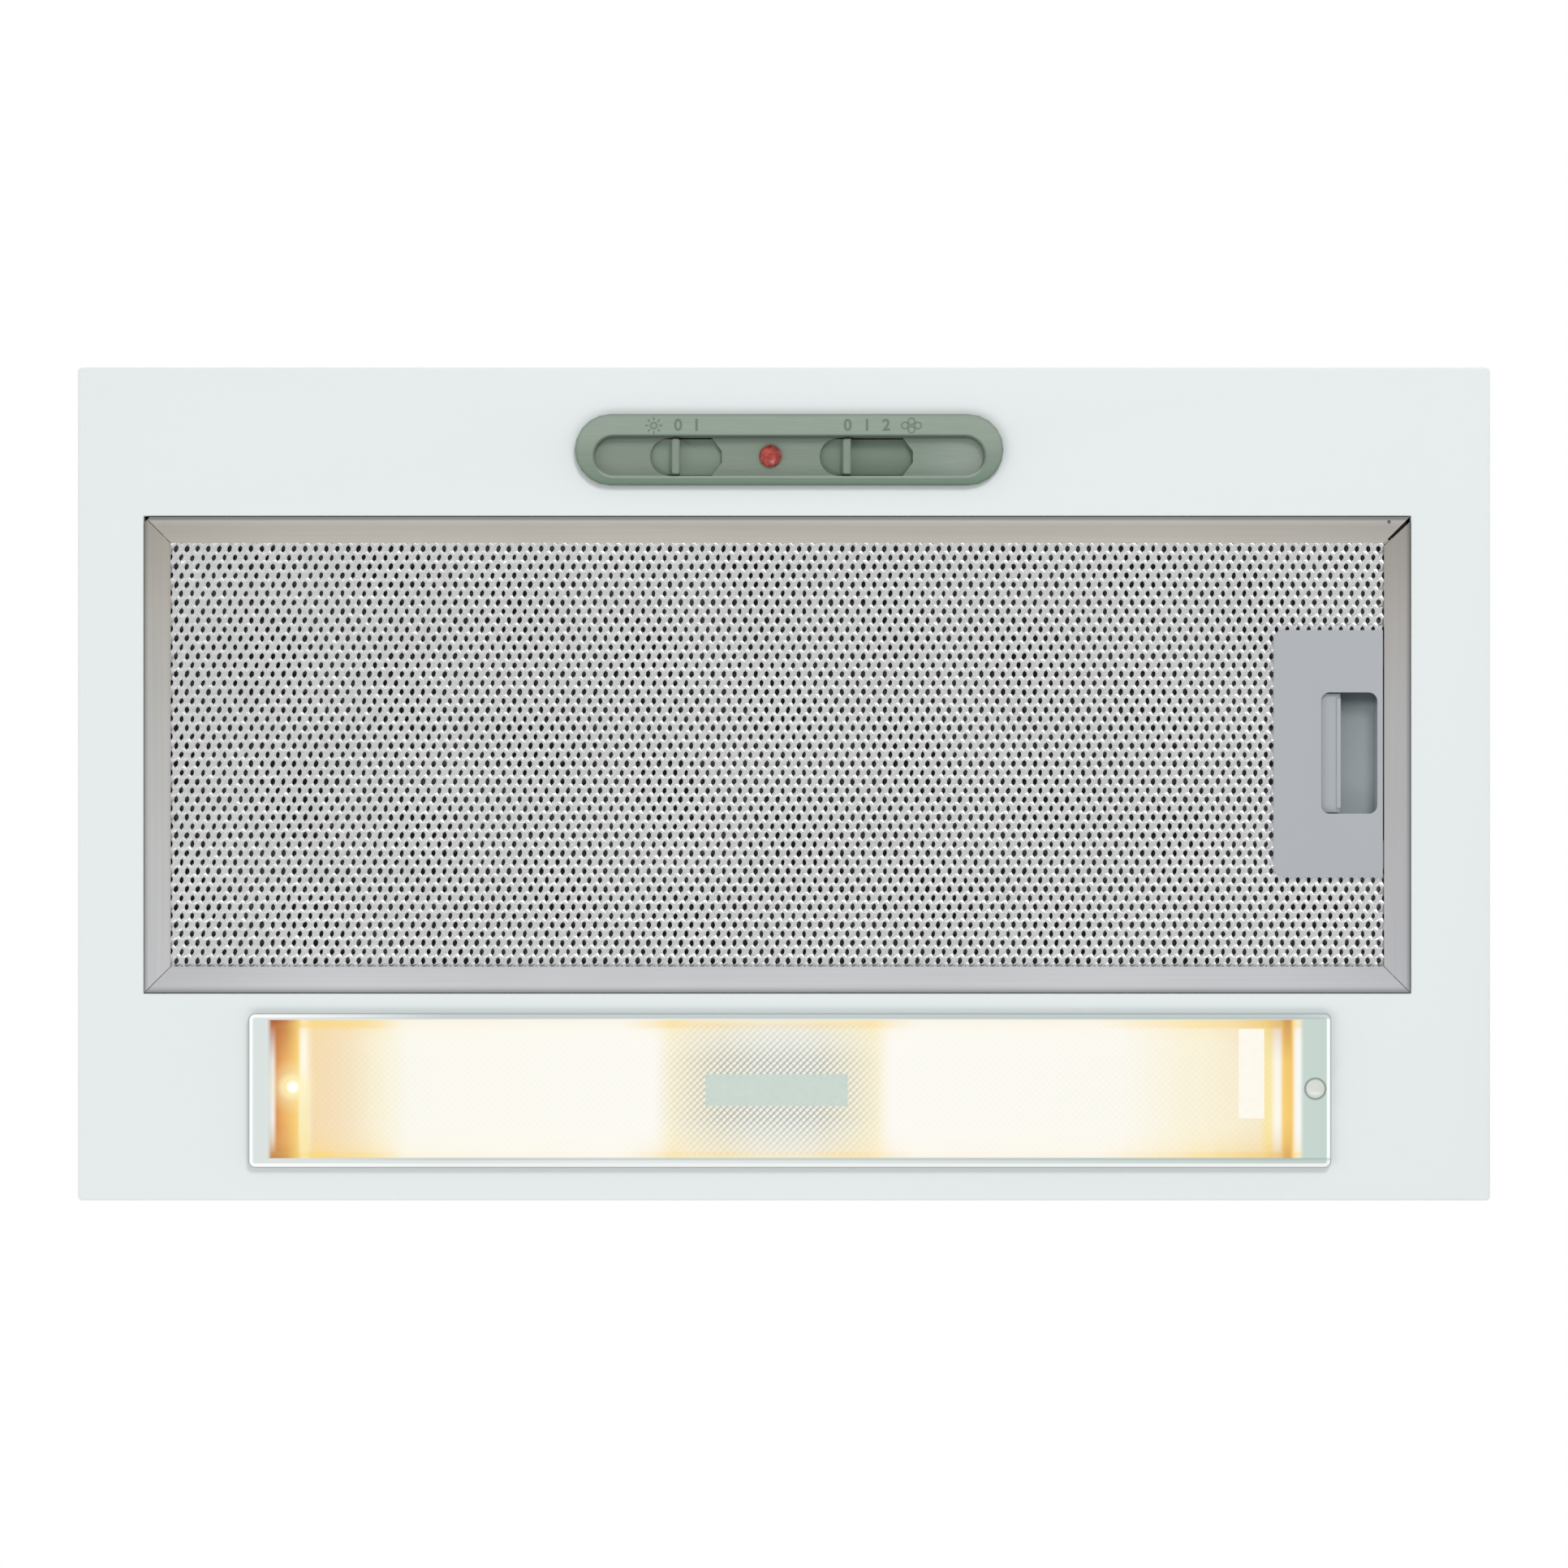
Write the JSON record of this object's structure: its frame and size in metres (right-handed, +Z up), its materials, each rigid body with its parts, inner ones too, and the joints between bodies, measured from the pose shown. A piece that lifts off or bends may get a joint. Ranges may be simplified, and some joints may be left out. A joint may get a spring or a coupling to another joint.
{
  "type": "canopy range hood",
  "caption": "Built-in canopy range hood with a white face plate, hinged aluminium grease filter, strip lamp, slide switches and twin-inlet blower.",
  "frame": {"origin": "centre of the cabinet's underside, which is the plane of the face plate's return lip", "axes": "+X to the right, -Y towards the room, +Y towards the wall, +Z up into the cabinet"},
  "size_m": [0.5, 0.295, 0.2023],
  "materials": {
    "white_enamel": "satin white powder coat, fine orange peel",
    "galvanised": "hot-dip galvanised sheet with spangle",
    "spring_steel": "blued spring steel strip",
    "bright_steel": "zinc plated steel",
    "collar_plastic": "black moulded polypropylene",
    "flap_plastic": "grey moulded polypropylene",
    "scroll_plastic": "black moulded ABS, fine texture",
    "impeller_plastic": "grey moulded nylon",
    "laminations": "stacked electrical steel",
    "winding_copper": "enamelled copper wire, laced",
    "bearing_bronze": "sintered bronze",
    "motor_zinc": "zinc plated pressed steel",
    "filter_frame_metal": "brushed aluminium strip",
    "filter_mesh_metal": "bright expanded aluminium foil",
    "latch_plastic": "blue-grey moulded plastic",
    "latch_slide_plastic": "blue-grey moulded plastic",
    "bezel_plastic": "grey-green moulded plastic, fine texture",
    "knob_plastic": "grey-green moulded plastic",
    "black_plastic": "black moulded plastic",
    "lamp_cover_clear": "clear prismatic acrylic",
    "pilot_red": "faceted red polycarbonate",
    "lamp_glass": "pearl lamp glass, lit",
    "reflector_white": "white stove enamel",
    "holder_porcelain": "unglazed white steatite",
    "capacitor_can": "drawn aluminium can"
  },
  "bodies": {
    "hood": {"face_plate": "white_enamel", "housing_wrap": "galvanised", "side_panel_left": "galvanised", "side_panel_right": "galvanised", "mounting_clip_left": "spring_steel", "mounting_clip_right": "spring_steel", "outlet_collar": "collar_plastic", "damper_bar": "collar_plastic", "damper_pin_front": "bright_steel", "damper_pin_rear": "bright_steel", "collar_screw_1": "bright_steel", "collar_screw_2": "bright_steel", "collar_screw_3": "bright_steel", "collar_screw_4": "bright_steel", "scroll_half_left": "scroll_plastic", "scroll_half_right": "scroll_plastic", "motor_stator": "laminations", "motor_coil_left": "winding_copper", "motor_coil_right": "winding_copper", "motor_cap_left": "motor_zinc", "motor_cap_right": "motor_zinc", "motor_bearing_left": "bearing_bronze", "motor_bearing_right": "bearing_bronze", "motor_bracket": "galvanised", "control_bezel": "bezel_plastic", "light_switch": "black_plastic", "fan_switch": "black_plastic", "indicator_lens": "pilot_red", "switch_box": "galvanised", "lamp_cover": "lamp_cover_clear", "cover_screw_left": "bright_steel", "cover_screw_right": "bright_steel", "lamp_reflector": "reflector_white", "lampholder_bracket": "galvanised", "lampholder_left": "holder_porcelain", "lampholder_right": "holder_porcelain", "bulb_left": "lamp_glass", "bulb_right": "lamp_glass", "latch_strike": "spring_steel", "terminal_box": "black_plastic", "terminal_box_lid": "black_plastic", "cable_gland": "black_plastic", "cable_gland_nut": "black_plastic", "capacitor": "capacitor_can", "capacitor_nut": "bright_steel"},
    "filter": {"filter_frame": "filter_frame_metal", "filter_mesh_outer": "filter_mesh_metal", "filter_mesh_core": "filter_mesh_metal", "filter_mesh_inner": "filter_mesh_metal", "latch_plate": "latch_plastic", "latch_spring": "spring_steel"},
    "latch": {"latch_slider": "latch_slide_plastic"},
    "light_knob": {"light_slider": "knob_plastic"},
    "fan_knob": {"fan_slider": "knob_plastic"},
    "damper_front": {"damper_flap_front": "flap_plastic"},
    "damper_rear": {"damper_flap_rear": "flap_plastic"},
    "fan_wheel": {"impeller_left": "impeller_plastic", "impeller_right": "impeller_plastic", "motor_shaft": "bright_steel", "motor_rotor": "laminations"}
  },
  "joints": [
    {"name": "filter_swing", "type": "hinge", "parent": "hood", "child": "filter", "pos_m": [-0.2265, -0.01035, -0.012], "axis": [0, 1, 0], "range_deg": [0, 60], "deforming": ["latch_strike"]},
    {"name": "latch_slide", "type": "slide", "parent": "filter", "child": "latch", "axis": [-1, 0, 0], "range_m": [0, 0.005], "stiffness_N_per_m": 300, "springref_m": -0.004, "deforming": ["latch_spring"]},
    {"name": "light_switch_slide", "type": "slide", "parent": "hood", "child": "light_knob", "axis": [1, 0, 0], "range_m": [0, 0.007]},
    {"name": "fan_switch_slide", "type": "slide", "parent": "hood", "child": "fan_knob", "axis": [1, 0, 0], "range_m": [0, 0.014]},
    {"name": "damper_front_swing", "type": "hinge", "parent": "hood", "child": "damper_front", "pos_m": [0, -0.0045, 0.172], "axis": [-1, 0, 0], "range_deg": [0, 78]},
    {"name": "damper_rear_swing", "type": "hinge", "parent": "hood", "child": "damper_rear", "pos_m": [0, 0.0045, 0.172], "axis": [1, 0, 0], "range_deg": [0, 78]},
    {"name": "fan_spin", "type": "hinge", "parent": "hood", "child": "fan_wheel", "pos_m": [0, -0.0545, 0.092], "axis": [1, 0, 0], "continuous": true}
  ]
}
